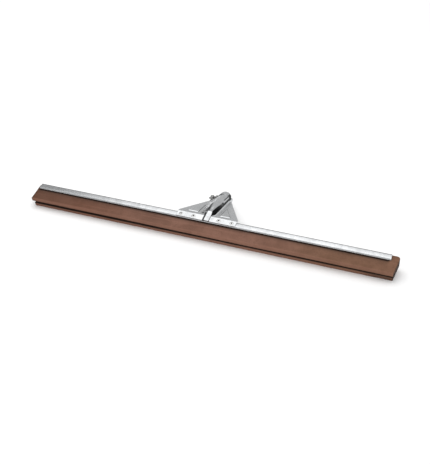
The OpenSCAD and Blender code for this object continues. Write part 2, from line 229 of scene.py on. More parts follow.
def curve_through(a, b, c, count):
    """Points of a quadratic curve from a to c, drawn towards b."""
    t = np.linspace(0, 1, count)[:, None]
    return (1 - t) ** 2 * np.array(a) + 2 * t * (1 - t) * np.array(b) + t ** 2 * np.array(c)


def arc(centre, radius, start, end, count):
    turn = np.linspace(start, end, count)
    return np.array(centre) + radius * np.stack([np.cos(turn), np.sin(turn)], axis=1)


def mark(mesh, label, values):
    """Gives a mesh's points a named value, for the finish."""
    mesh.attributes.new(label, "FLOAT", "POINT").data.foreach_set("value", np.asarray(values, np.float32))


def new_piece(name, points, faces, finish, marks=None):
    """A new object from points and faces. marks are named values at the points, for the finish."""
    mesh = bpy.data.meshes.new(name)
    mesh.from_pydata([tuple(p) for p in np.asarray(points).reshape(-1, 3)], [], faces)
    mesh.materials.append(finish)
    for label, values in (marks or {}).items():
        mark(mesh, label, values)
    piece = bpy.data.objects.new(name, mesh)
    bpy.context.scene.collection.objects.link(piece)
    tidy_mesh(mesh)
    return piece


def tidy_mesh(mesh):
    """Merges doubles and turns every face outwards."""
    work = bmesh.new()
    work.from_mesh(mesh)
    bmesh.ops.remove_doubles(work, verts=work.verts, dist=1e-6)
    bmesh.ops.dissolve_degenerate(work, edges=work.edges, dist=1e-7)
    loose = [v for v in work.verts if not v.link_faces]
    bmesh.ops.delete(work, geom=loose, context="VERTS")
    bmesh.ops.recalc_face_normals(work, faces=work.faces)
    work.to_mesh(mesh)
    work.free()


def settle(piece, sharp=35.0):
    """Turns a piece and its modifiers into one plain mesh with smooth faces and sharp edges."""
    graph = bpy.context.evaluated_depsgraph_get()
    graph.update()
    made = bpy.data.meshes.new_from_object(piece.evaluated_get(graph))
    old = piece.data
    piece.modifiers.clear()
    piece.data = made
    bpy.data.meshes.remove(old)
    made.name = piece.name
    made.shade_smooth()
    made.set_sharp_from_angle(angle=math.radians(sharp))
    return piece


def bevel(piece, width, segments, limit):
    """Rounds the edges that turn by more than a limit."""
    cut = piece.modifiers.new("edges", "BEVEL")
    cut.width = width
    cut.segments = segments
    cut.limit_method = "ANGLE"
    cut.angle_limit = math.radians(limit)
    cut.use_clamp_overlap = True


def seat(piece, body, slot, *nodes):
    """Puts a finished piece on its body in place of its nodes."""
    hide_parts(*nodes)
    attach(piece, body)


def ring_faces(rings, count, closed):
    """Quads between rings of points, and caps at both ends unless the rings close on themselves."""
    faces = []
    steps = rings if closed else rings - 1
    for k in range(steps):
        a, b = k * count, ((k + 1) % rings) * count
        for i in range(count):
            j = (i + 1) % count
            faces.append((a + i, a + j, b + j, b + i))
    if not closed:
        faces.append(tuple(range(count - 1, -1, -1)))
        faces.append(tuple(range((rings - 1) * count, rings * count)))
    return faces


def sheet_solid(face, keep, thickness, flip=False):
    """A closed sheet behind a grid of points. keep says which cells of the grid are there.

    The thickness is one length, or a length for each point.
    """
    rows, columns = face.shape[:2]
    normal = np.cross(np.gradient(face, axis=1), np.gradient(face, axis=0))
    normal /= np.maximum(np.linalg.norm(normal, axis=2, keepdims=True), 1e-12)
    if flip:
        normal = -normal
    points = np.concatenate([face.reshape(-1, 3), (face - thickness * normal).reshape(-1, 3)])
    under = rows * columns
    faces = []
    rim = {}
    for r in range(rows - 1):
        for c in range(columns - 1):
            if not keep[r, c]:
                continue
            a = r * columns + c
            quad = (a, a + 1, a + columns + 1, a + columns)
            faces.append(quad)
            faces.append(tuple(under + q for q in reversed(quad)))
            for i in range(4):
                edge = (quad[i], quad[(i + 1) % 4])
                if (edge[1], edge[0]) in rim:
                    del rim[edge[1], edge[0]]
                else:
                    rim[edge] = True
    for p, q in rim:
        faces.append((q, p, under + p, under + q))
    return points, faces


def join_solids(solids):
    """Points and faces of several solids in one list of each."""
    points, faces, start = [], [], 0
    for some_points, some_faces in solids:
        points.append(np.asarray(some_points).reshape(-1, 3))
        faces.extend(tuple(start + q for q in f) for f in some_faces)
        start += len(points[-1])
    return np.concatenate(points), faces


# Finishes


def feed(tree, node, inputs):
    """Sets a node's inputs to values, or joins them to sockets."""
    for key, value in inputs.items():
        socket = node.inputs[key]
        if isinstance(value, bpy.types.NodeSocket):
            tree.links.new(value, socket)
        else:
            socket.default_value = value


def add(tree, kind, inputs=None, **settings):
    """A new node with its settings and its inputs."""
    node = tree.nodes.new(kind)
    for key, value in settings.items():
        setattr(node, key, value)
    feed(tree, node, inputs or {})
    return node


def calc(tree, operation, *values):
    return add(tree, "ShaderNodeMath", dict(enumerate(values)), operation=operation).outputs[0]


def times(tree, a, b):
    return calc(tree, "MULTIPLY", a, b)


def weighed(tree, *parts):
    """The sum of some values, each times its weight."""
    total = 0.0
    for value, weight in parts:
        total = calc(tree, "MULTIPLY_ADD", value, weight, total)
    return total


def span(tree, value, low, high, to_low=0.0, to_high=1.0):
    """Eases from one value to another while the input runs from low to high."""
    inputs = {"Value": value, "From Min": low, "From Max": high, "To Min": to_low, "To Max": to_high}
    return add(tree, "ShaderNodeMapRange", inputs, interpolation_type="SMOOTHSTEP").outputs["Result"]


def mix_colours(tree, share, a, b, way="MIX"):
    """Mixes two colours, each of them rgb values or a socket."""
    node = add(tree, "ShaderNodeMix", {"Factor": share}, data_type="RGBA", blend_type=way)
    ends = [value if isinstance(value, bpy.types.NodeSocket) else (*value, 1.0) for value in (a, b)]
    feed(tree, node, {6: ends[0], 7: ends[1]})
    return node.outputs[2]


def toned(rgb, share):
    """A colour made darker or lighter."""
    return tuple(min(1.0, share * c) for c in rgb)


def noise(tree, place, scale, detail, rough=0.5):
    inputs = {"Vector": place, "Scale": scale, "Detail": detail, "Roughness": rough}
    return add(tree, "ShaderNodeTexNoise", inputs).outputs["Fac"]


def stretched(tree, place, scale):
    return add(tree, "ShaderNodeMapping", {"Vector": place, "Scale": scale}).outputs["Vector"]


def marked(tree, label):
    """A value that a piece carries at its points."""
    return add(tree, "ShaderNodeAttribute", attribute_name=label).outputs["Fac"]


def bump(tree, height, distance, strength):
    inputs = {"Height": height, "Distance": distance, "Strength": strength}
    return add(tree, "ShaderNodeBump", inputs).outputs["Normal"]


def new_finish(name):
    """A new material with its tree, its shader and the place on the piece."""
    finish = bpy.data.materials.new(name)
    finish.use_nodes = True
    tree = finish.node_tree
    place = add(tree, "ShaderNodeTexCoord").outputs["Object"]
    return finish, tree, tree.nodes["Principled BSDF"], place


def rubber_finish(looks):
    """Matt cellular rubber: mottled brown, open pores, long moulding streaks, a rubbed lip, painted shade in
    the parting and under the channel's lip, and darker towards the left end.
    """
    finish, tree, shader, place = new_finish("moss_rubber_finish")
    base, dark, pale = looks.rubber, looks.rubber_dark, toned(looks.rubber, 1.28)
    across = add(tree, "ShaderNodeSeparateXYZ", {"Vector": place}).outputs["X"]
    patches = span(tree, noise(tree, place, 28.0, 5.0, 0.6), 0.32, 0.68)
    grain = noise(tree, place, 900.0, 3.0, 0.6)
    streaks = noise(tree, stretched(tree, place, (6.0, 260.0, 260.0)), 1.0, 3.0)
    cells = add(tree, "ShaderNodeTexVoronoi", {"Vector": place, "Scale": 520.0, "Randomness": 1.0}).outputs
    chosen = add(tree, "ShaderNodeSeparateColor", {"Color": cells["Color"]}).outputs["Red"]
    pit = span(tree, cells["Distance"], 0.16, 0.34, 1.0, 0.0)
    pit = times(tree, pit, calc(tree, "GREATER_THAN", chosen, 0.62))
    tone = toned(base, 0.72)
    for share, other, way in (
        (patches, base, "MIX"),
        # Darker towards the left end
        (span(tree, across, -0.44, 0.02, 0.8, 0.0), dark, "MIX"),
        (span(tree, streaks, 0.5, 0.8, 0.0, 0.45), pale, "MIX"),
        (span(tree, grain, 0.45, 0.8, 0.0, 0.4), pale, "MIX"),
        (span(tree, across, -0.26, -0.1, 1.0, 0.0), looks.rubber_left, "MULTIPLY"),
        (span(tree, across, 0.1, 0.28), looks.rubber_right, "MULTIPLY"),
        (times(tree, pit, 0.75), dark, "MIX"),
        (times(tree, marked(tree, "worn"), 0.4), pale, "MIX"),
        # Painted shade in the parting, under the channel's lip and on the lower lip, and darker ends
        (times(tree, marked(tree, "painted_shade_and_dark_ends"), 0.95), toned(dark, 0.2), "MIX"),
    ):
        tone = mix_colours(tree, share, tone, other, way)
    feed(tree, shader, {
        "Base Color": tone,
        "Roughness": span(tree, patches, 0.0, 1.0, 0.92, 0.78),
        "Specular IOR Level": 0.28,
        "Normal": bump(tree, weighed(tree, (grain, 0.35), (pit, -1.0)), 0.00022, 0.8),
    })
    return finish


def zinc_finish(looks):
    """Galvanised sheet: soft zinc grains, rolling lines, duller patches and painted shade where the inside
    mark is set.
    """
    finish, tree, shader, place = new_finish("galvanised_sheet_finish")
    warp = add(tree, "ShaderNodeTexNoise", {"Vector": place, "Scale": 60.0, "Detail": 3.0}).outputs["Color"]
    moved = {0: warp, 1: (0.006, 0.006, 0.006), 2: place}
    moved = add(tree, "ShaderNodeVectorMath", moved, operation="MULTIPLY_ADD").outputs["Vector"]
    grains = add(tree, "ShaderNodeTexVoronoi", {"Vector": moved, "Scale": 150.0}).outputs["Color"]
    shade = add(tree, "ShaderNodeSeparateColor", {"Color": grains}).outputs["Green"]
    patches = span(tree, noise(tree, place, 22.0, 5.0, 0.65), 0.35, 0.7)
    lines = noise(tree, stretched(tree, place, (5.0, 900.0, 900.0)), 1.0, 2.0)
    specks = span(tree, noise(tree, place, 700.0, 2.0), 0.62, 0.72)
    inside = marked(tree, "inside")
    share = weighed(tree, (shade, 0.35), (patches, 0.35), (specks, 0.3))
    tone = mix_colours(tree, share, looks.zinc, looks.zinc_dull)
    rough = span(tree, patches, 0.0, 1.0, 0.17, 0.25)
    feed(tree, shader, {
        # The inside mark paints shade: it darkens the sheet towards a dark dull zinc in the bore, creases,
        # grooves and under edges
        "Base Color": mix_colours(tree, times(tree, inside, 0.92), tone, toned(looks.zinc_dull, 0.12)),
        "Roughness": weighed(tree, (rough, 1.0), (shade, 0.06), (lines, 0.05), (inside, 0.4)),
        "Metallic": 1.0,
        "Normal": bump(tree, weighed(tree, (shade, 0.25), (lines, 0.3), (patches, 0.5)), 0.00006, 0.6),
    })
    return finish


def plated_finish(name, tint, rough, stain):
    """Plated or bare small steel: fine blasted grain, handling marks and dull stains."""
    finish, tree, shader, place = new_finish(name + "_finish")
    marks = span(tree, noise(tree, place, 260.0, 5.0, 0.7), 0.4, 0.72)
    grain = noise(tree, place, 2600.0, 2.0)
    feed(tree, shader, {
        "Base Color": mix_colours(tree, marks, tint, toned(tint, stain)),
        "Roughness": span(tree, marks, 0.0, 1.0, *rough),
        "Metallic": 1.0,
        "Normal": bump(tree, weighed(tree, (grain, 0.4), (marks, 1.0)), 0.00004, 0.6),
    })
    return finish


def finish_of(name):
    """A finish by its slot's name, made when it is first asked for."""
    found = bpy.data.materials.get(name + "_finish")
    if found:
        return found
    looks = bpy.context.scene.squeegee_finishes
    if name == "moss_rubber":
        return rubber_finish(looks)
    if name == "galvanised_sheet":
        return zinc_finish(looks)
    tint, rough, stain = {
        "rivet_steel": (looks.rivet, (0.26, 0.42), 0.7),
        "dark_pin": (looks.pin, (0.45, 0.7), 0.5),
        "zinc_steel": (looks.plated, (0.30, 0.5), 0.6),
    }[name]
    return plated_finish(name, tint, rough, stain)


# Node trees for pieces that repeat or follow a rule


def new_tree(name, lengths, counts=()):
    """An empty geometry tree with inputs for a mesh, some lengths, some counts and a finish."""
    tree = bpy.data.node_groups.new(name, "GeometryNodeTree")
    kinds = {"Geometry": "Geometry", "Material": "Material"}
    kinds.update(dict.fromkeys(lengths, "Float"), **dict.fromkeys(counts, "Int"))
    for label, kind in kinds.items():
        tree.interface.new_socket(label, in_out="INPUT", socket_type="NodeSocket" + kind)
    tree.interface.new_socket("Geometry", in_out="OUTPUT", socket_type="NodeSocketGeometry")
    return tree, tree.nodes.new("NodeGroupInput"), tree.nodes.new("NodeGroupOutput")


def run_tree(name, mesh, tree, values):
    """A new object that carries the tree, with the tree's inputs set by their identifiers."""
    piece = bpy.data.objects.new(name, mesh)
    bpy.context.scene.collection.objects.link(piece)
    work = piece.modifiers.new("build", "NODES")
    work.node_group = tree
    for item in tree.interface.items_tree:
        if item.in_out == "INPUT" and item.name in values:
            work[item.identifier] = values[item.name]
    return settle(piece)


def close_tree(tree, geometry, material, output):
    """Ends a tree: real geometry, smooth faces and one finish."""
    whole = add(tree, "GeometryNodeRealizeInstances", {"Geometry": geometry}).outputs["Geometry"]
    soft = add(tree, "GeometryNodeSetShadeSmooth", {"Geometry": whole}).outputs["Geometry"]
    done = add(tree, "GeometryNodeSetMaterial", {"Geometry": soft, "Material": material})
    tree.links.new(done.outputs["Geometry"], output.inputs["Geometry"])


def outline_curve(tree, share, values):
    """A value along an outline, from 0 at its start to 1 at its end."""
    node = add(tree, "ShaderNodeFloatCurve", {"Value": share})
    curve = node.mapping.curves[0]
    for k, value in enumerate(values):
        at = k / (len(values) - 1)
        if 0 < k < len(values) - 1:
            curve.points.new(at, value)
        else:
            curve.points[0 if k == 0 else -1].location = (at, value)
    for point in curve.points:
        point.handle_type = "VECTOR"
    node.mapping.update()
    return node.outputs["Value"]


def unit_grid(tree, sides, rows):
    """A grid, with its share across from -0.5 to 0.5 and its share up from 0 to 1."""
    counts = {"Size X": 1.0, "Size Y": 1.0, "Vertices X": sides + 1, "Vertices Y": rows}
    grid = add(tree, "GeometryNodeMeshGrid", counts).outputs["Mesh"]
    at = add(tree, "GeometryNodeInputPosition").outputs["Position"]
    at = add(tree, "ShaderNodeSeparateXYZ", {"Vector": at})
    return grid, at.outputs["X"], calc(tree, "ADD", at.outputs["Y"], 0.5)


def wrapped(tree, grid, across, radius, height):
    """Wraps a unit grid round Z and closes it where its sides meet."""
    turn = times(tree, across, 2 * math.pi)
    spot = add(tree, "ShaderNodeCombineXYZ", {
        "X": times(tree, radius, calc(tree, "COSINE", turn)),
        "Y": times(tree, radius, calc(tree, "SINE", turn)),
        "Z": height,
    }).outputs["Vector"]
    solid = add(tree, "GeometryNodeSetPosition", {"Geometry": grid, "Position": spot}).outputs["Geometry"]
    merge = {"Geometry": solid, "Distance": 1e-6}
    return add(tree, "GeometryNodeMergeByDistance", merge).outputs["Geometry"]


def turned_tree(name, outline, sides):
    """Turns an outline of (radius, height) shares about Z, and sets a copy on every point of the mesh."""
    tree, given, output = new_tree(name, ("Radius", "Height", "Tilt"))
    grid, across, up = unit_grid(tree, sides, len(outline))
    radius, height = (
        times(tree, outline_curve(tree, up, shares), given.outputs[label])
        for label, shares in zip(("Radius", "Height"), zip(*outline))
    )
    solid = wrapped(tree, grid, across, radius, height)
    lean = add(tree, "ShaderNodeCombineXYZ", {"X": given.outputs["Tilt"]}).outputs["Vector"]
    lean = add(tree, "FunctionNodeEulerToRotation", {"Euler": lean}).outputs["Rotation"]
    copies = add(tree, "GeometryNodeInstanceOnPoints", {
        "Points": given.outputs["Geometry"], "Instance": solid, "Rotation": lean,
    }).outputs["Instances"]
    close_tree(tree, copies, given.outputs["Material"], output)
    return tree


def swept_tree(name):
    """Sweeps the mesh's outline along X, between two places, in even steps."""
    tree, given, output = new_tree(name, ("From", "To"), ("Steps",))
    ends = {}
    for end, label in (("Start", "From"), ("End", "To")):
        ends[end] = add(tree, "ShaderNodeCombineXYZ", {"X": given.outputs[label]}).outputs["Vector"]
    line = add(tree, "GeometryNodeCurvePrimitiveLine", ends).outputs["Curve"]
    stepped = {"Curve": line, "Count": given.outputs["Steps"]}
    line = add(tree, "GeometryNodeResampleCurve", stepped).outputs["Curve"]
    outline = add(tree, "GeometryNodeMeshToCurve", {"Mesh": given.outputs["Geometry"]}).outputs["Curve"]
    solid = add(tree, "GeometryNodeCurveToMesh", {
        "Curve": line, "Profile Curve": outline, "Fill Caps": True,
    }).outputs["Mesh"]
    close_tree(tree, solid, given.outputs["Material"], output)
    return tree


def thread_tree(name, sides, rows):
    """A threaded rod from the ground up along Z, with a chamfer and a flat at both ends."""
    tree, given, output = new_tree(name, ("Length", "Radius", "Pitch", "Depth", "Chamfer"))
    long = given.outputs["Length"]
    grid, across, up = unit_grid(tree, sides, rows)
    step = 1.0 / (rows - 1)
    between = {"Value": up, "From Min": step, "From Max": 1 - step}
    share = add(tree, "ShaderNodeMapRange", between, clamp=True).outputs["Result"]
    height = times(tree, share, long)
    phase = calc(tree, "SUBTRACT", calc(tree, "DIVIDE", height, given.outputs["Pitch"]), across)
    wave = times(tree, calc(tree, "PINGPONG", phase, 0.5), 2.0)
    crest, root = 0.12, 0.85
    flats = {"Value": wave, "From Min": crest, "From Max": root}
    wave = add(tree, "ShaderNodeMapRange", flats).outputs["Result"]
    near = calc(tree, "MINIMUM", height, calc(tree, "SUBTRACT", long, height))
    near = calc(tree, "DIVIDE", near, given.outputs["Chamfer"])
    near = calc(tree, "SUBTRACT", 1.0, calc(tree, "MINIMUM", near, 1.0))
    sunk = calc(tree, "MAXIMUM", wave, times(tree, near, 1.3))
    sunk = times(tree, sunk, given.outputs["Depth"])
    past_foot = calc(tree, "GREATER_THAN", up, step / 2)
    past_top = calc(tree, "LESS_THAN", up, 1 - step / 2)
    radius = calc(tree, "SUBTRACT", given.outputs["Radius"], sunk)
    radius = times(tree, radius, times(tree, past_foot, past_top))
    close_tree(tree, wrapped(tree, grid, across, radius, height), given.outputs["Material"], output)
    return tree


# Rubber strips


def strip_outline(size):
    """Outline of the upper strip as (y, z), from the lip's inner edge over the outer face to the back."""
    lip, back = -size.lip_y, -size.strip_back
    r = size.lip_r
    part, top, t = size.lip_part, size.lip_t, size.strip_t
    front = -size.channel_d
    slope = (top - t) / (front - lip)
    inner = part / (front - lip)
    outer = np.concatenate([
        np.linspace(lip + r, front - 6 * MM, 10)[1:],
        np.linspace(front - 5.5 * MM, front + 4 * MM, 20),
        np.linspace(front + 5 * MM, back - 2 * r, 5),
    ])
    outer = np.stack([outer, np.where(outer < front, t + (front - outer) * slope, t)], axis=1)
    parting = np.concatenate([np.linspace(back - r, front, 5)[1:], np.linspace(front, lip + r, 9)[1:-1]])
    parting = np.stack([parting, np.where(parting < front, (front - parting) * inner, 0.0)], axis=1)
    return np.concatenate([
        curve_through((lip + r, part - r * inner), (lip, part), (lip, part + r), 5),
        np.stack([np.full(3, lip), np.linspace(part + r, top - r, 5)[1:-1]], axis=1),
        curve_through((lip, top - r), (lip, top), (lip + r, top - r * slope), 6),
        outer,
        curve_through((back - 2 * r, t), (back, t), (back, t - 2 * r), 5),
        curve_through((back, r), (back, 0.0), (back - r, 0.0), 4),
        parting,
    ])


# Shares of a strip's wander, and their waves in a metre
WAVES = ((0.5, 2.3), (0.3, 5.1), (0.2, 11.7))

# Dark marks on the rubber: painted shade on the lower lip near the right end, and darker left and right ends
LIP_SHADE, LEFT_END_DARK, RIGHT_END_DARK = 0.55, 0.6, 0.7


def waver(x, seed):
    """A slow, repeatable wander along a strip, from -1 to 1."""
    return sum(share * np.sin(2 * math.pi * x * k + seed * (1.7 + k)) for share, k in WAVES)


def strip_stations(size, ends):
    """Places of a strip's rings, close together at its rounded ends."""
    r, corner = size.lip_r, size.corner_r
    eased = [r * (1 - math.cos(a)) for a in np.linspace(0, math.pi / 2, 5)][:-1]
    turned = [corner * (1 - math.cos(a)) for a in np.linspace(0.35, math.pi / 2, 8)]
    inset = sorted(set(eased + turned))
    middle = np.arange(ends[0] + corner + 5 * MM, ends[1] - corner - 4 * MM, 5 * MM)
    return np.concatenate([[ends[0] + q for q in inset], middle, [ends[1] - q for q in reversed(inset)]])


def strip_points(size, places, side, ends, channel):
    """Rings of points along a strip, with eased ends, a slanting right end and the channel's crease."""
    outline = strip_outline(size)
    flat_y, flat_z = outline.T
    lip, back, front = -size.lip_y, -size.strip_back, -size.channel_d
    r, corner = size.lip_r, size.corner_r
    around = np.roll(outline, -1, axis=0) - np.roll(outline, 1, axis=0)
    outward = np.stack([-around[:, 1], around[:, 0]], axis=1)
    outward /= np.linalg.norm(outward, axis=1, keepdims=True)
    on_top = (flat_z > size.strip_t / 2).astype(float)
    free = ease(front, lip, flat_y)
    shift = size.lip_wave * free
    groove = hump(front - 6.5 * MM, front - 0.7 * MM, front + 1.6 * MM, front + 2.8 * MM, flat_y)
    slope = size.end_slant / (back - lip)
    hinge = back - corner - 0.6 * MM
    # Painted shade darkens the parting, the crease under the channel's lip and the lower strip's lip
    parting = (1 - on_top) * ease(lip, lip + r, flat_y)
    edge = 1 - ease(size.lip_part, size.lip_part + 1.2 * MM, flat_z)
    parting = np.maximum(parting, (side < 0) * edge)
    pressed = on_top * np.clip(np.exp((flat_y - front + 0.5 * MM) / (5 * MM)), 0, 1)
    lower_lip = (side < 0) * (1 - ease(lip + r, lip + 3 * MM, flat_y))
    covering = [end + fade for end in channel for fade in (-1.5 * MM, 1.5 * MM)]
    rings, painted_shade_and_dark_ends = [], []
    stations = strip_stations(size, ends)
    for x in stations:
        near = min(x - ends[0], ends[1] - x)
        y, z = flat_y.copy(), flat_z.copy()
        covered = hump(*covering, x)
        z -= on_top * covered * size.crease * groove
        z -= (1 - on_top) * free * size.lip_close * (ease(ends[0], ends[1], x) - 0.55)
        z += shift * waver(x, 1.0 if side > 0 else 2.6)
        y += 0.6 * shift * waver(x, 4.0 if side > 0 else 5.5)
        # The back corner is rounded in plan, and the end's own edges are eased
        if near < corner:
            drawn = corner - math.sqrt(max(corner ** 2 - (corner - near) ** 2, 0.0))
            share = (back - drawn - hinge) / (back - hinge)
            y = np.where(y > hinge, hinge + (y - hinge) * share, y)
        if near < r:
            inset = r - math.sqrt(max(r ** 2 - (r - near) ** 2, 0.0))
            y -= inset * outward[:, 0]
            z -= inset * outward[:, 1]
        lean = slope * ease(ends[1] - 70 * MM, ends[1] - 15 * MM, x)
        rings.append(places.section(x + lean * (y - back), y, side * z))
        # Painted shade on the lower lip towards the right end, and darker left and right ends
        lip_shade_and_dark_ends = LIP_SHADE * lower_lip * ease(ends[1] - 75 * MM, ends[1] - 25 * MM, x)
        lip_shade_and_dark_ends = lip_shade_and_dark_ends + RIGHT_END_DARK * ease(ends[1] - r, ends[1] - 0.3 * r, x)
        lip_shade_and_dark_ends = lip_shade_and_dark_ends + LEFT_END_DARK * (1 - ease(ends[0] + 1 * MM, ends[0] + 2.5 * MM, x))
        painted_shade_and_dark_ends.append(np.maximum(np.maximum(parting, covered * pressed), lip_shade_and_dark_ends))
    worn = np.clip(1 - np.abs(flat_y - lip) / (3 * MM), 0, 1) * (flat_z > size.lip_part + r)
    return np.array(rings), {"worn": np.tile(worn, len(stations)), "painted_shade_and_dark_ends": np.concatenate(painted_shade_and_dark_ends)}


class SQUEEGEE_OT_strips(bpy.types.Operator):
    """Build the two rubber strips"""

    bl_idname = "squeegee.strips"
    bl_label = "Rubber strips"

    def execute(self, context):
        size = context.scene.squeegee_sizes
        places = Places(size)
        finish = finish_of("moss_rubber")
        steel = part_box("channel")
        channel = (steel[0][0], steel[1][0])
        lean = math.atan2(size.end_slant, size.lip_y - size.strip_back)
        past = size.corner_r * (1 / math.tan(math.pi / 4 - lean / 2) - 1)
        strips = ((1, "upper_blade", "rubber_strip_upper"), (-1, "lower_blade", "rubber_strip_lower"))
        for side, node, name in strips:
            low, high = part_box(node)
            corner = high[0] + past
            rings, marks = strip_points(size, places, side, (low[0], corner), channel)
            faces = ring_faces(rings.shape[0], rings.shape[1], closed=False)
            piece = new_piece(name, rings, faces, finish, marks)
            settle(piece, 45.0)
            seat(piece, "head", "moss_rubber", node)
        return {"FINISHED"}


# Channel


class SQUEEGEE_OT_channel(bpy.types.Operator):
    """Build the folded channel, swept along the strips from its section"""

    bl_idname = "squeegee.channel"
    bl_label = "Folded channel"

    def execute(self, context):
        size = context.scene.squeegee_sizes
        places = Places(size)
        r, t = size.fold_r, size.channel_t
        fold = size.channel_h - r
        front, rear = r - size.channel_d, -r
        quarter = math.pi / 2
        folds = ((front, fold), (rear, fold), (rear, -fold), (front, -fold))
        outside = [arc(spot, r, (2 - k) * quarter, (1 - k) * quarter, 9) for k, spot in enumerate(folds)]
        inside = [arc(spot, r - t, (1 - k) * quarter, (2 - k) * quarter, 7) for k, spot in enumerate(folds)]
        tip = front - r + t / 2
        low_end = arc((tip, -fold), t / 2, 2 * quarter, 0, 5)[1:-1]
        low_end[:, 1] = -fold + np.abs(low_end[:, 1] + fold) * 0.8
        high_end = low_end[::-1] * (1, -1)
        outline = np.concatenate([*outside, low_end, *inside[::-1], high_end])
        spots = places.section(np.zeros(len(outline)), outline[:, 0], outline[:, 1])
        mesh = bpy.data.meshes.new("channel_outline")
        edges = [(k, (k + 1) % len(spots)) for k in range(len(spots))]
        mesh.from_pydata([(-p[1], -p[2], 0.0) for p in spots], edges, [])
        low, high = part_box("channel")
        finish = finish_of("galvanised_sheet")
        piece = run_tree("folded_channel", mesh, swept_tree("Folded channel"), {
            "From": low[0], "To": high[0], "Steps": 60, "Material": finish,
        })
        tidy_mesh(piece.data)
        spots = np.array([v.co for v in piece.data.vertices]) - places.mid
        # Painted shade darkens the upper side of the back fold in a dull line
        dull = hump(-0.2 * MM, 0.6 * MM, 2.0 * MM, 2.9 * MM, spots @ places.back - rear)
        mark(piece.data, "inside", 0.95 * dull * (spots @ places.up > fold))
        bevel(piece, 0.2 * MM, 1, 60.0)
        settle(piece, 40.0)
        seat(piece, "head", "galvanised_sheet", "channel")
        return {"FINISHED"}


# Bracket


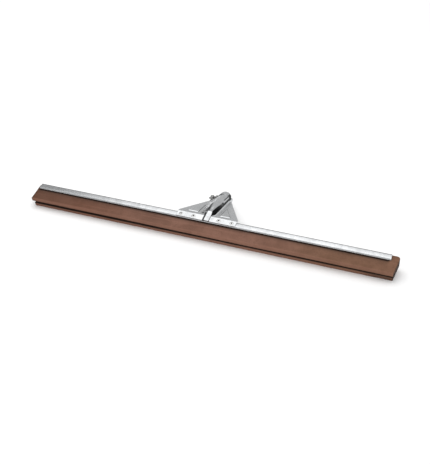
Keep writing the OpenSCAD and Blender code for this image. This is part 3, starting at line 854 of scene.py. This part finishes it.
class Bracket:
    """The bracket's sheet, as rows of cross-sections from the front of its base to the socket's mouth.

    s is the distance of a row from the bend, along the sheet.
    """

    # Points across a wing, the lip beside the seam, the shell and the bead's right wall
    FLAT, LIP, SHELL, WALL = 84, 10, 22, 7

    def __init__(self, size, places):
        self.size = size
        self.outer = outer = size.bend_r + size.sheet_t
        self.axis = np.array((0.0, -size.sheet_t / 2))
        top = size.channel_h + size.sheet_t
        rows = []
        for y in np.linspace(-size.base_y, -0.5 * MM, 9):
            rows.append((places.section(0, y, top), places.up, y - outer * size.bend))
        for a in np.linspace(0, size.bend, 7)[:-1]:
            lift = places.up * math.cos(a) + places.back * math.sin(a)
            rows.append((places.bend_axis + outer * lift, lift, outer * (a - size.bend)))
        wing = np.linspace(0, size.wing_top, 144)
        mouth = np.linspace(size.wing_top, size.socket_l, 10)[1:]
        for s in np.concatenate([wing, mouth]):
            rows.append((places.bend_axis + outer * SQUARE + s * OUTWARD, SQUARE, s))
        self.spots, self.ups, self.at = (np.array(part, float) for part in zip(*rows))
        self.spots[:, 0] = places.bend_axis[0]
        self.above = self.at[:-1] > size.wing_top - 1e-6

    def grid(self, paths):
        """Points of a sheet from (x, height) paths, its cells to keep, and the painted shade marks of both
        faces.
        """
        x, height = (np.array(paths)[..., k, None] for k in (0, 1))
        face = self.spots[:, None] + x * ALONG + height * self.ups[:, None]
        rows, columns = face.shape[:2]
        return face, np.ones((rows - 1, columns - 1), bool), np.zeros((2, rows, columns))

    def radius(self, s):
        """Outer radius of the socket at s, with a soft start and end of its taper."""
        size = self.size
        spread = np.linspace(-10, 10, 21) * MM
        share = np.clip((s + spread - size.throat_start) / (size.throat_end - size.throat_start), 0, 1)
        return size.throat_r + (size.tube_r - size.throat_r) * share.mean()

    def edge(self, s):
        """Half width of the bracket at s."""
        size = self.size
        share = np.clip((s - size.wing_end) / (size.wing_top - size.wing_end), 0, 1)
        return size.base_w + (size.wing_peak - size.base_w) * share

    def rib(self, x, s):
        """Height of the pressed rib at a distance x from the socket's axis."""
        return self.size.rib_h * ease(-0.4 * MM, 1.2 * MM, self.into_rib(x, s))

    def rib_crease(self, x, s):
        """Painted shade as a dark line round a rib's foot, except along its lower edge."""
        depth = self.into_rib(x, s)
        near = np.exp(-((depth + 0.1 * MM) / (0.8 * MM)) ** 2)
        return 0.7 * near * ease(0.5 * MM, 2 * MM, s - self.size.rib_start - depth)

    def into_rib(self, x, s):
        """Distance from a rib's outline, positive inside it."""
        size = self.size
        run = np.array((size.base_w - size.wing_peak, size.wing_top - size.wing_end))
        across = np.array((run[1], run[0])) / np.hypot(*run)
        slant = (size.base_w - x) * across[0] - (s - size.wing_end) * across[1] - size.rib_margin
        return np.minimum(np.minimum(x - size.rib_inner, s - size.rib_start), slant)

    def rolled(self, s):
        """0 where the bead runs, 1 where the socket's roll runs."""
        start = self.size.throat_start
        return ease(start, start + 3 * MM, s)

    def swell(self, s):
        """Height to which the flank has risen beside the bead."""
        return self.size.flank_rise * ease(0, self.size.throat_start, s)

    def seam_edge(self, s):
        """Place and height of the right wing's edge, which runs nearly straight beside the seam."""
        size = self.size
        low = size.notch + 3.5 * MM * ease(-3 * MM, 0, s)
        line = size.seam_low + (size.seam_high - size.seam_low) * np.clip(s / size.wing_top, 0, 1)
        return low + (line - low) * ease(0, 8 * MM, s), size.seam_lip * ease(1 * MM, 9 * MM, s)

    def bead_foot(self, s):
        """Distance of the bead's left foot from the bracket's middle, which grows behind the bend."""
        return self.size.bead_foot + 0.3 * max(s, 0.0)

    def bore_shade(self, s):
        """How much painted shade the bore gets at s, with less of it near the open mouth."""
        return 1 - 0.5 * ease(self.size.wing_top - 6 * MM, self.size.socket_l, s)

    def bead(self, s):
        """The flat bead over the base, which runs on to the roll while the wings bend away under it."""
        size, outer = self.size, self.outer
        turn = np.clip(size.bend + s / outer, 0, size.bend)
        rise = size.bead_h * (1 - 0.6 * ease(-size.base_y, size.throat_start, s))
        top = (outer + rise + max(s, 0.0) * math.sin(size.bend)) / math.cos(turn) - outer
        corner = size.bead_right - 1.2 * MM * ease(0, size.throat_start, s) - 0.7 * MM
        foot, base = self.bead_foot(s), self.swell(s)
        share = np.linspace(0, 1, 11)[1:]
        height = base - (size.groove + base) * ease(0, 0.25, share)
        height += (top + size.groove) * ease(0.72, 1, share)
        ramp = np.stack([-foot + share * (foot - size.bead_left), height], axis=1)
        level = np.linspace((-size.bead_left, top), (corner, top), self.SHELL + 1)[1:]
        share = np.linspace(0, 1, self.WALL + 1)[1:]
        closed = 1 - ease(-1 * MM, 2 * MM, s)
        reach = 0.7 * MM + closed * 0.9 * MM
        wall = np.stack([corner + share * reach, top * (1 - closed * ease(0.2, 1, share))], axis=1)
        return np.concatenate([ramp, level, wall])

    def left(self):
        """The left wing, its flank and the socket's upper half, which ends as a bead over the base."""
        size, axis = self.size, self.axis
        peak = size.wing_top - 9 * MM
        paths, creases = [], []
        for s in self.at:
            r, share, bead_foot = self.radius(s), self.rolled(s), self.bead_foot(s)
            # The flank's foot moves out from the bend, and in to the roll at the wing's top
            foot_x = size.flank_low + (size.flank - size.flank_low) * np.clip((s - 4 * MM) / (52 * MM), 0, 1)
            foot_x += (r - foot_x) * ease(peak, size.wing_top + 3 * MM, s)
            foot = np.array((-foot_x, 0.0))
            fillet = 2.2 * MM * (r / size.tube_r) * (1 - 0.9 * ease(peak, size.wing_top + 2 * MM, s))
            # The flank rises from its foot to where it touches the roll
            lean = math.pi - math.atan2(foot[1] - axis[1], foot_x)
            lean -= math.acos(min(1.0, r / np.hypot(*(foot - axis))))
            touch = axis + r * np.array((math.cos(lean), math.sin(lean)))
            run = max(np.hypot(*(touch - foot)), 1e-9)
            turned = foot + min(fillet, 0.9 * run) * (touch - foot) / run
            end = size.seam_to - 0.12 * hump(20 * MM, 50 * MM, 62 * MM, 70 * MM, s)
            roll = np.concatenate([
                curve_through(foot - (fillet, 0), foot, turned, 6)[1:],
                np.linspace(turned, touch, 6)[1:],
                arc(axis, r, lean, end, self.SHELL + self.WALL + 1)[1:],
            ])
            bead = self.bead(s)
            # The wing ends at the bead's foot, and further out where the roll has taken over
            start = -bead_foot - share * (foot_x + fillet - bead_foot)
            x = np.linspace(-max(self.edge(s), foot_x + fillet + 0.4 * MM), start, self.FLAT)
            slope = ease(-foot_x - 0.5 * MM, -bead_foot, x) * self.swell(s) * (1 - share)
            wing = np.stack([x, self.rib(-x, s) + slope], axis=1)
            paths.append(np.concatenate([wing, bead + share * (roll - bead)]))
            # Painted shade runs as a dark line along the flank's foot
            line = 0.4 * np.exp(-((x + foot_x + 0.3 * MM) / (0.7 * MM)) ** 2)
            line *= hump(1 * MM, 6 * MM, 46 * MM, 60 * MM, s)
            creases.append(np.maximum(self.rib_crease(-x, s), line))
        face, keep, inside = self.grid(paths)
        keep[self.above, :self.FLAT - 1] = False
        # Painted shade as dark lines round the ribs and along the flank's foot
        inside[0, :, :self.FLAT] = creases
        # Painted shade on the groove beside the bead, on the bead's right wall near the base, and on the bore
        # under the roll
        for row, s in enumerate(self.at):
            inside[0, row, self.FLAT:self.FLAT + 8] = 1 - self.rolled(s)
            inside[0, row, -self.WALL + 2:] = 0.8 * (1 - ease(0, 3 * MM, s))
            inside[1, row, self.FLAT + 4:] = self.bore_shade(s)
        return *sheet_solid(face, keep, size.sheet_t), inside.ravel()

    def right(self):
        """The right wing, turned up beside the seam."""
        paths, creases = [], []
        for s in self.at:
            edge, top = self.seam_edge(s)
            start = edge + 3.2 * MM
            lip = curve_through((start, 0.0), (edge + 0.9 * MM, 0.0), (edge, top), self.LIP + 1)[1:]
            x = np.linspace(max(self.edge(s), start + 0.5 * MM), start, self.FLAT)
            paths.append(np.concatenate([np.stack([x, self.rib(x, s)], axis=1), lip]))
            line = 0.35 * np.exp(-((x - start - 0.8 * MM) / (0.7 * MM)) ** 2) * ease(6 * MM, 12 * MM, s)
            creases.append(np.maximum(self.rib_crease(x, s), line))
        face, keep, inside = self.grid(paths)
        keep[self.above] = False
        # Painted shade as dark lines round the ribs and along the foot of the lip beside the seam
        inside[0, :, :self.FLAT] = creases
        return *sheet_solid(face, keep, self.size.sheet_t, flip=True), inside.ravel()

    def lower(self):
        """The lower half of the socket, from under the left wing round to the seam's right edge."""
        size, axis, top = self.size, self.axis, self.size.wing_top
        tab_end = size.socket_l - size.band_w - size.tab_l
        # Points under the left wing, in the turn, round the bore and in a thin sheet of painted shade under
        # the tab
        flats, bends, rounds, shade_lining = 6, 5, 40, 12
        paths = []
        for s in self.at:
            r = self.radius(s)
            inner = r - size.sheet_t + 0.05 * MM
            level = -0.05 * MM
            far = size.flank * r / size.tube_r + 5 * MM
            hidden = ease(top - 3 * MM, top + 2 * MM, s)
            under_tab = ease(tab_end - 7 * MM, tab_end - 2 * MM, s)
            end = 2 * math.pi + math.radians(6) + (size.seam_to - math.radians(1)) * under_tab
            begin = math.radians(192) - math.radians(14) * hidden
            meet = axis + inner * np.array((math.cos(begin), math.sin(begin)))
            flat = np.linspace((-far, level), (-inner - 1.6 * MM, level), flats)
            turn = curve_through(flat[-1], (-inner, level), meet, bends + 1)[1:]
            turn = turn + hidden * (arc(axis, inner, begin - 0.02, begin, bends) - turn)
            bore = arc(axis, inner, begin, end, rounds + 1)[1:]
            # Below the tab the bore reaches out to the seam's right edge
            low = 1 - ease(tab_end - 16 * MM, tab_end - 7 * MM, s)
            wide = 1 + low * ((self.seam_edge(s)[0] - 0.2 * MM) / inner - 1)
            bore[:, 0] *= np.where(bore[:, 0] > 0, wide, 1)
            paths.append(np.concatenate([flat, turn, bore]))
        face, keep, inside = self.grid(paths)
        at = self.at[:-1]
        keep[at < 4 * MM] = False
        keep[at > top - 4 * MM, :flats] = False
        high = np.sum(at <= tab_end - 11 * MM)
        thickness = np.full((*inside[0].shape, 1), size.sheet_t - 0.1 * MM)
        thickness[high:, -shade_lining:] = 0.4 * MM
        # Painted shade: the bore is darkened, and the thin sheet under the tab is dark on both faces
        inside[0] = self.bore_shade(self.at)[:, None]
        inside[:, high:, -shade_lining:] = 1
        return *sheet_solid(face, keep, thickness), inside.ravel()


class SQUEEGEE_OT_bracket(bpy.types.Operator):
    """Build the pressed bracket with its wings, ribs and open socket"""

    bl_idname = "squeegee.bracket"
    bl_label = "Pressed bracket"

    def execute(self, context):
        size = context.scene.squeegee_sizes
        bracket = Bracket(size, Places(size))
        sheets = [bracket.left(), bracket.right(), bracket.lower()]
        points, faces = join_solids([sheet[:2] for sheet in sheets])
        inside = np.concatenate([sheet[2] for sheet in sheets])
        finish = finish_of("galvanised_sheet")
        piece = new_piece("pressed_bracket", points, faces, finish, {"inside": inside})
        bevel(piece, 0.3 * MM, 2, 55.0)
        settle(piece, 40.0)
        seat(piece, "head", "galvanised_sheet", "handle_bracket")
        return {"FINISHED"}


# Rivets


class SQUEEGEE_OT_rivets(bpy.types.Operator):
    """Set the four blind rivets and their broken pins"""

    bl_idname = "squeegee.rivets"
    bl_label = "Rivets"

    def execute(self, context):
        size = context.scene.squeegee_sizes
        places = Places(size)
        seat_z = size.channel_h + size.sheet_t
        tilt = math.atan2(places.back[2], places.back[1])
        shank = 1.6
        dome = [(math.sin(a), 0.22 + 0.78 * math.cos(a)) for a in np.linspace(math.pi / 2, 0.52, 9)]
        head = [(0.0, -shank), (0.5, -shank), (0.5, 0.0), (0.96, 0.0), (1.0, 0.06), *dome,
                (0.46, 0.9), (0.41, 0.80), (0.40, 0.35), (0.0, 0.35)]
        head = [(q, (z + shank) / (1 + shank)) for q, z in head]
        pin = [(0.0, 0.0), (0.9, 0.0), (1.0, 0.1), (1.0, 0.86),
               (0.86, 0.95), (0.5, 1.0), (0.25, 0.9), (0.0, 0.86)]
        tall, sunk = (1 + shank) * size.rivet_h, -shank * size.rivet_h
        for name, nodes, slot, outline, radius, height, lift in (
            ("rivet_heads", RIVETS, "rivet_steel", head, size.rivet_r, tall, sunk),
            ("rivet_pins", PINS, "dark_pin", pin, size.pin_r, 0.85 * size.rivet_h, 0.1 * MM),
        ):
            middles = [(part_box(node)[0][0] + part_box(node)[1][0]) / 2 for node in RIVETS]
            spots = [places.section(middle, -size.rivet_back, seat_z + lift) for middle in middles]
            mesh = bpy.data.meshes.new(name)
            mesh.from_pydata([tuple(p) for p in spots], [], [])
            piece = run_tree(name, mesh, turned_tree(name, outline, 32), {
                "Radius": radius, "Height": height, "Tilt": tilt, "Material": finish_of(slot),
            })
            tidy_mesh(piece.data)
            settle(piece, 40.0)
            seat(piece, "head", slot, *nodes)
        return {"FINISHED"}


# Clamp


class SQUEEGEE_OT_band(bpy.types.Operator):
    """Build the band round the socket's mouth, with its hooked tab in the seam"""

    bl_idname = "squeegee.band"
    bl_label = "Socket band"

    def execute(self, context):
        size = context.scene.squeegee_sizes
        places = Places(size)
        outer = size.band_in + size.band_t
        start = size.socket_l - size.band_w
        low = start - size.tab_l
        turns = np.concatenate([
            np.linspace(size.tab_from, size.tab_to, 7),
            np.linspace(size.tab_to, size.hook_to, 8)[1:],
            np.linspace(size.hook_to, 2 * math.pi + size.band_from, 130)[1:],
        ])
        reach = np.concatenate([
            np.linspace(low, low + size.hook_l, 7),
            np.linspace(low + size.hook_l, start, 14)[1:],
            np.linspace(start, size.socket_l, 11)[1:],
        ])
        turn, s = np.meshgrid(turns, reach)
        # The band has a rolled rim and a low ridge, is pressed in at the seam, and its tab lies deeper
        rolled = 0.25 * MM * ease(size.socket_l - 1.8 * MM, size.socket_l, s)
        ridge = 0.35 * MM * np.exp(-((s - start - size.band_w / 2) / (2.2 * MM)) ** 2)
        pocket = (1 - ease(*np.radians((54, 58)), turn)) * ease(start, start + 2 * MM, s)
        sunk = 1 - ease(start - 1 * MM, start + 2 * MM, s)
        flush = hump(*np.radians((48, 56, 96, 112)), turn)
        flush = flush * (1 - ease(start, start + 6 * MM, s)) * (s > start - 1 * MM)
        skin = outer - 0.3 * MM + (rolled + ridge * (s > start)) * (1 - pocket)
        skin = skin - 0.8 * MM * pocket - 1.1 * MM * flush
        skin = skin + sunk * (size.tube_r - 0.1 * MM - skin)
        face = places.round_socket(skin, turn, s)
        thickness = size.band_t - 0.3 * MM - 0.4 * MM * sunk[..., None]
        keep = np.zeros((len(reach) - 1, len(turns) - 1), bool)
        mid_s = (reach[1:] + reach[:-1]) / 2
        mid_turn = (turns[1:] + turns[:-1]) / 2
        keep[mid_s > start, :] = True
        keep[np.ix_(mid_s < start, mid_turn < size.tab_to)] = True
        keep[np.ix_(mid_s < low + size.hook_l, mid_turn < size.hook_to)] = True
        points, faces = sheet_solid(face, keep, thickness, flip=True)
        # Painted shade: a dark line under the band's lower edge over the top and left of the socket, the
        # pressed pocket beside the seam, and the band's whole inner face
        shade = 0.9 * hump(*np.radians((76, 92, 150, 170)), turn) * (1 - ease(start, start + 3 * MM, s))
        marks = {"inside": np.concatenate([np.maximum(pocket, shade).ravel(), np.ones(pocket.size)])}
        piece = new_piece("socket_band", points, faces, finish_of("galvanised_sheet"), marks)
        bevel(piece, 0.3 * MM, 2, 55.0)
        settle(piece, 40.0)
        seat(piece, "head", "galvanised_sheet", "clamp_band")
        return {"FINISHED"}


def weld_bead(start, end, radius, count=14, sides=10):
    """A short lumpy weld bead between two points."""
    start, end = np.array(start), np.array(end)
    along = (end - start) / np.linalg.norm(end - start)
    side = np.cross(along, ALONG)
    side /= np.linalg.norm(side)
    other = np.cross(along, side)
    rings = []
    turn = np.linspace(0, 2 * math.pi, sides, endpoint=False)[:, None]
    for k, share in enumerate(np.linspace(0, 1, count)):
        swell = radius * math.sqrt(max(1 - (2 * share - 1) ** 6, 0.02)) * (1 + 0.12 * math.sin(2.4 * k))
        rings.append(start + share * (end - start) + swell * (np.cos(turn) * side + np.sin(turn) * other))
    return np.array(rings), ring_faces(count, sides, closed=False)


class SQUEEGEE_OT_nut(bpy.types.Operator):
    """Build the square nut that is welded to the band"""

    bl_idname = "squeegee.nut"
    bl_label = "Square nut"

    def execute(self, context):
        size = context.scene.squeegee_sizes
        saddle = size.band_in + size.band_t + 0.05 * MM
        hole = size.stud_r + 0.1 * MM
        half, top = size.nut_w, size.nut_top
        turn = np.linspace(0, 2 * math.pi, 72, endpoint=False)
        square = half / (np.abs(np.cos(turn)) ** 14 + np.abs(np.sin(turn)) ** 14) ** (1 / 14)

        def ring(radius, reach):
            a, b = radius * np.cos(turn), radius * np.sin(turn)
            return from_screw(np.maximum(np.sqrt(saddle ** 2 - b ** 2), reach), a, b)

        slope = top - 0.25 * MM - np.maximum(square - 0.96 * half, 0) * 0.58
        outer = [
            ring(hole, 0.0),
            ring(square - 0.3 * MM, 0.0),
            ring(square, saddle + 0.35 * MM),
            ring(square, slope - 0.25 * MM),
            ring(0.97 * square, slope),
            ring(0.86 * half, top),
            ring(hole + 0.55 * MM, top),
            ring(hole, top - 0.5 * MM),
        ]
        solids = [(np.array(outer), ring_faces(len(outer), len(turn), closed=True))]
        for side in (-1, 1):
            b = side * (half + 0.15 * MM)
            low = math.sqrt(saddle ** 2 - b ** 2) + 0.1 * MM
            ends = [from_screw(low, share * half, b) for share in (-0.8, 0.8)]
            solids.append(weld_bead(*ends, 0.75 * MM))
        points, faces = join_solids(solids)
        piece = new_piece("square_nut", points, faces, finish_of("zinc_steel"))
        settle(piece, 32.0)
        seat(piece, "head", "zinc_steel", "clamp_nut")
        return {"FINISHED"}


def screw_matrix(reach):
    """Stands a piece that was built along Z on the stud's axis, at a reach from the socket's axis."""
    turn = Matrix((OUTWARD, SQUARE, -ALONG)).transposed().to_4x4()
    turn.translation = Vector(from_screw(reach, 0.0, 0.0))
    return turn


class SQUEEGEE_OT_stud(bpy.types.Operator):
    """Build the threaded stud"""

    bl_idname = "squeegee.stud"
    bl_label = "Threaded stud"

    def execute(self, context):
        size = context.scene.squeegee_sizes
        long = size.hub_to - size.stud_tip
        rows = int(round(long / size.pitch * 10)) + 3
        mesh = bpy.data.meshes.new("stud_place")
        piece = run_tree("threaded_stud", mesh, thread_tree("Threaded stud", 40, rows), {
            "Length": long, "Radius": size.stud_r, "Pitch": size.pitch, "Depth": 0.6 * size.pitch,
            "Chamfer": 0.8 * MM, "Material": finish_of("zinc_steel"),
        })
        piece.data.transform(screw_matrix(size.stud_tip))
        tidy_mesh(piece.data)
        settle(piece, 50.0)
        seat(piece, "stud", "zinc_steel", "clamp_stud")
        return {"FINISHED"}


class SQUEEGEE_OT_wing(bpy.types.Operator):
    """Build the wing head, cast in one with its two ears"""

    bl_idname = "squeegee.wing"
    bl_label = "Wing head"

    def execute(self, context):
        size = context.scene.squeegee_sizes
        turn = np.linspace(0, 2 * math.pi, 64, endpoint=False)

        def ring(radius, reach):
            return from_screw(np.full_like(turn, reach), radius * np.cos(turn), radius * np.sin(turn))

        hole = size.stud_r + 0.25 * MM
        low, high, r = size.hub_from, size.hub_to, size.hub_r
        rings = [ring(hole, low), ring(r - 0.4 * MM, low), ring(r, low + 0.5 * MM), ring(r, low + 1.6 * MM),
                 ring(0.88 * r, high - 0.8 * MM), ring(0.8 * r, high), ring(hole, high)]
        solids = [(np.array(rings), ring_faces(len(rings), len(turn), closed=True))]
        middle = high - (high - low) / 4
        layers = np.linspace(-1, 1, 9)
        for side in (-1, 1):
            slices = []
            for b in layers:
                round_off = size.ear_r * (1 - 0.16 * abs(b) ** 3)
                slices.append(from_screw(
                    middle + round_off * np.sin(turn),
                    side * size.ear_out + round_off * np.cos(turn),
                    np.full_like(turn, b * size.ear_t / 2)))
            solids.append((np.array(slices), ring_faces(len(layers), len(turn), closed=False)))
        points, faces = join_solids(solids)
        piece = new_piece("wing_head", points, faces, finish_of("zinc_steel"))
        cast = piece.modifiers.new("cast", "REMESH")
        cast.mode = "VOXEL"
        cast.voxel_size = 0.22 * MM
        soft = piece.modifiers.new("soft", "SMOOTH")
        soft.factor = 0.5
        soft.iterations = 6
        settle(piece, 60.0)
        tidy_mesh(piece.data)
        seat(piece, "wing", "zinc_steel", "clamp_wing")
        return {"FINISHED"}


# Stage


# The camera of the photograph
CAMERA_AT = (0.45302, -1.1866, 0.8127)
CAMERA_TO = (0.00302, 0.0, -0.0244)
CAMERA_LENS = 57.53

# The overhead lamp: its place, the spot under it, its width and depth, and its radiance
LAMP_AT = (-0.34, 0.33, 1.5)
LAMP_TO = (-0.34, 0.33, 0.0)
LAMP_SIZE = (1.4, 1.24)
LAMP_RADIANCE = 1.21

# Strength of the studio: as light, and as the steel mirrors it, from the left to the rest of the room
STUDIO_LIGHT = 0.97
STUDIO_LEFT, STUDIO_REST = 0.5, 0.66
STUDIO_FRONT = 0.3


def aimed(name, data, spot, target):
    """A lamp or camera at a spot, turned to a target."""
    holder = bpy.data.objects.new(name, data)
    holder.location = spot
    holder.rotation_euler = (Vector(target) - Vector(spot)).to_track_quat("-Z", "Y").to_euler()
    bpy.context.scene.collection.objects.link(holder)
    return holder


def studio(tree):
    """A white room whose mirror image is greyer: a dim left, a dark corner behind it and a lighter front."""
    path = add(tree, "ShaderNodeLightPath").outputs
    seen = calc(tree, "MAXIMUM", path["Is Camera Ray"], path["Is Transmission Ray"])
    facing = add(tree, "ShaderNodeTexCoord").outputs["Generated"]
    facing = add(tree, "ShaderNodeSeparateXYZ", {"Vector": facing}).outputs
    image = span(tree, facing["X"], -0.62, -0.30, STUDIO_LEFT, STUDIO_REST)
    corner = span(tree, facing["X"], -0.505, -0.46, 0.85, 0.0)
    corner = times(tree, corner, span(tree, facing["Y"], 0.1, 0.28))
    image = times(tree, image, calc(tree, "SUBTRACT", 1.0, corner))
    front = span(tree, facing["Y"], -0.12, 0.08, STUDIO_FRONT, 0.0)
    front = times(tree, front, span(tree, facing["Y"], -0.6, -0.2))
    image = times(tree, path["Is Glossy Ray"], calc(tree, "ADD", image, front))
    light = times(tree, calc(tree, "SUBTRACT", 1.0, path["Is Glossy Ray"]), STUDIO_LIGHT)
    level = calc(tree, "MAXIMUM", calc(tree, "ADD", image, light), seen)
    feed(tree, tree.nodes["Background"], {"Color": (1.0, 1.0, 1.0, 1.0), "Strength": level})


class SQUEEGEE_OT_stage(bpy.types.Operator):
    """Lay the floor and set the light and the camera"""

    bl_idname = "squeegee.stage"
    bl_label = "Floor, light and camera"

    def execute(self, context):
        scene = context.scene
        finish, tree, shader, _ = new_finish("pale_floor")
        pale = (*scene.squeegee_finishes.floor, 1.0)
        feed(tree, shader, {"Base Color": pale, "Roughness": 0.9, "Specular IOR Level": 0.1})
        reach = 8.0
        corners = [(-reach, -reach, 0), (reach, -reach, 0), (reach, reach, 0), (-reach, reach, 0)]
        mesh = bpy.data.meshes.new("floor")
        mesh.from_pydata(corners, [], [(0, 1, 2, 3)])
        mesh.materials.append(finish)
        floor = bpy.data.objects.new("floor", mesh)
        scene.collection.objects.link(floor)

        world = bpy.data.worlds.new("studio")
        world.use_nodes = True
        scene.world = world
        studio(world.node_tree)

        lamp = bpy.data.lights.new("overhead", "AREA")
        lamp.shape = "RECTANGLE"
        lamp.size, lamp.size_y = LAMP_SIZE
        lamp.energy = LAMP_RADIANCE * LAMP_SIZE[0] * LAMP_SIZE[1] * math.pi
        aimed("overhead", lamp, LAMP_AT, LAMP_TO)

        camera = bpy.data.cameras.new("camera")
        camera.sensor_width = 36.0
        camera.lens = CAMERA_LENS
        camera.clip_start, camera.clip_end = 0.05, 50.0
        scene.camera = aimed("camera", camera, CAMERA_AT, CAMERA_TO)
        scene.view_settings.view_transform = "Standard"
        return {"FINISHED"}


class SQUEEGEE_PT_sidebar(bpy.types.Panel):
    """Lists the builders and their values"""

    bl_idname = "SQUEEGEE_PT_sidebar"
    bl_label = "Floor squeegee head"
    bl_space_type = "VIEW_3D"
    bl_region_type = "UI"
    bl_category = "Squeegee"

    def draw(self, context):
        layout = self.layout
        for builder in BUILDERS:
            layout.operator(builder.bl_idname)
        for group in (context.scene.squeegee_sizes, context.scene.squeegee_finishes):
            for name in group.__annotations__:
                layout.prop(group, name)


BUILDERS = (
    SQUEEGEE_OT_strips,
    SQUEEGEE_OT_channel,
    SQUEEGEE_OT_bracket,
    SQUEEGEE_OT_rivets,
    SQUEEGEE_OT_band,
    SQUEEGEE_OT_nut,
    SQUEEGEE_OT_stud,
    SQUEEGEE_OT_wing,
    SQUEEGEE_OT_stage,
)
CLASSES = (SqueegeeSizes, SqueegeeFinishes, *BUILDERS, SQUEEGEE_PT_sidebar)


def register():
    for item in CLASSES:
        bpy.utils.register_class(item)
    bpy.types.Scene.squeegee_sizes = PointerProperty(type=SqueegeeSizes)
    bpy.types.Scene.squeegee_finishes = PointerProperty(type=SqueegeeFinishes)


def unregister():
    del bpy.types.Scene.squeegee_finishes
    del bpy.types.Scene.squeegee_sizes
    for item in reversed(CLASSES):
        bpy.utils.unregister_class(item)


def main():
    register()
    bpy.ops.squeegee.strips()
    bpy.ops.squeegee.channel()
    bpy.ops.squeegee.bracket()
    bpy.ops.squeegee.rivets()
    bpy.ops.squeegee.band()
    bpy.ops.squeegee.nut()
    bpy.ops.squeegee.stud()
    bpy.ops.squeegee.wing()
    bpy.ops.squeegee.stage()


if __name__ == "__main__":
    main()
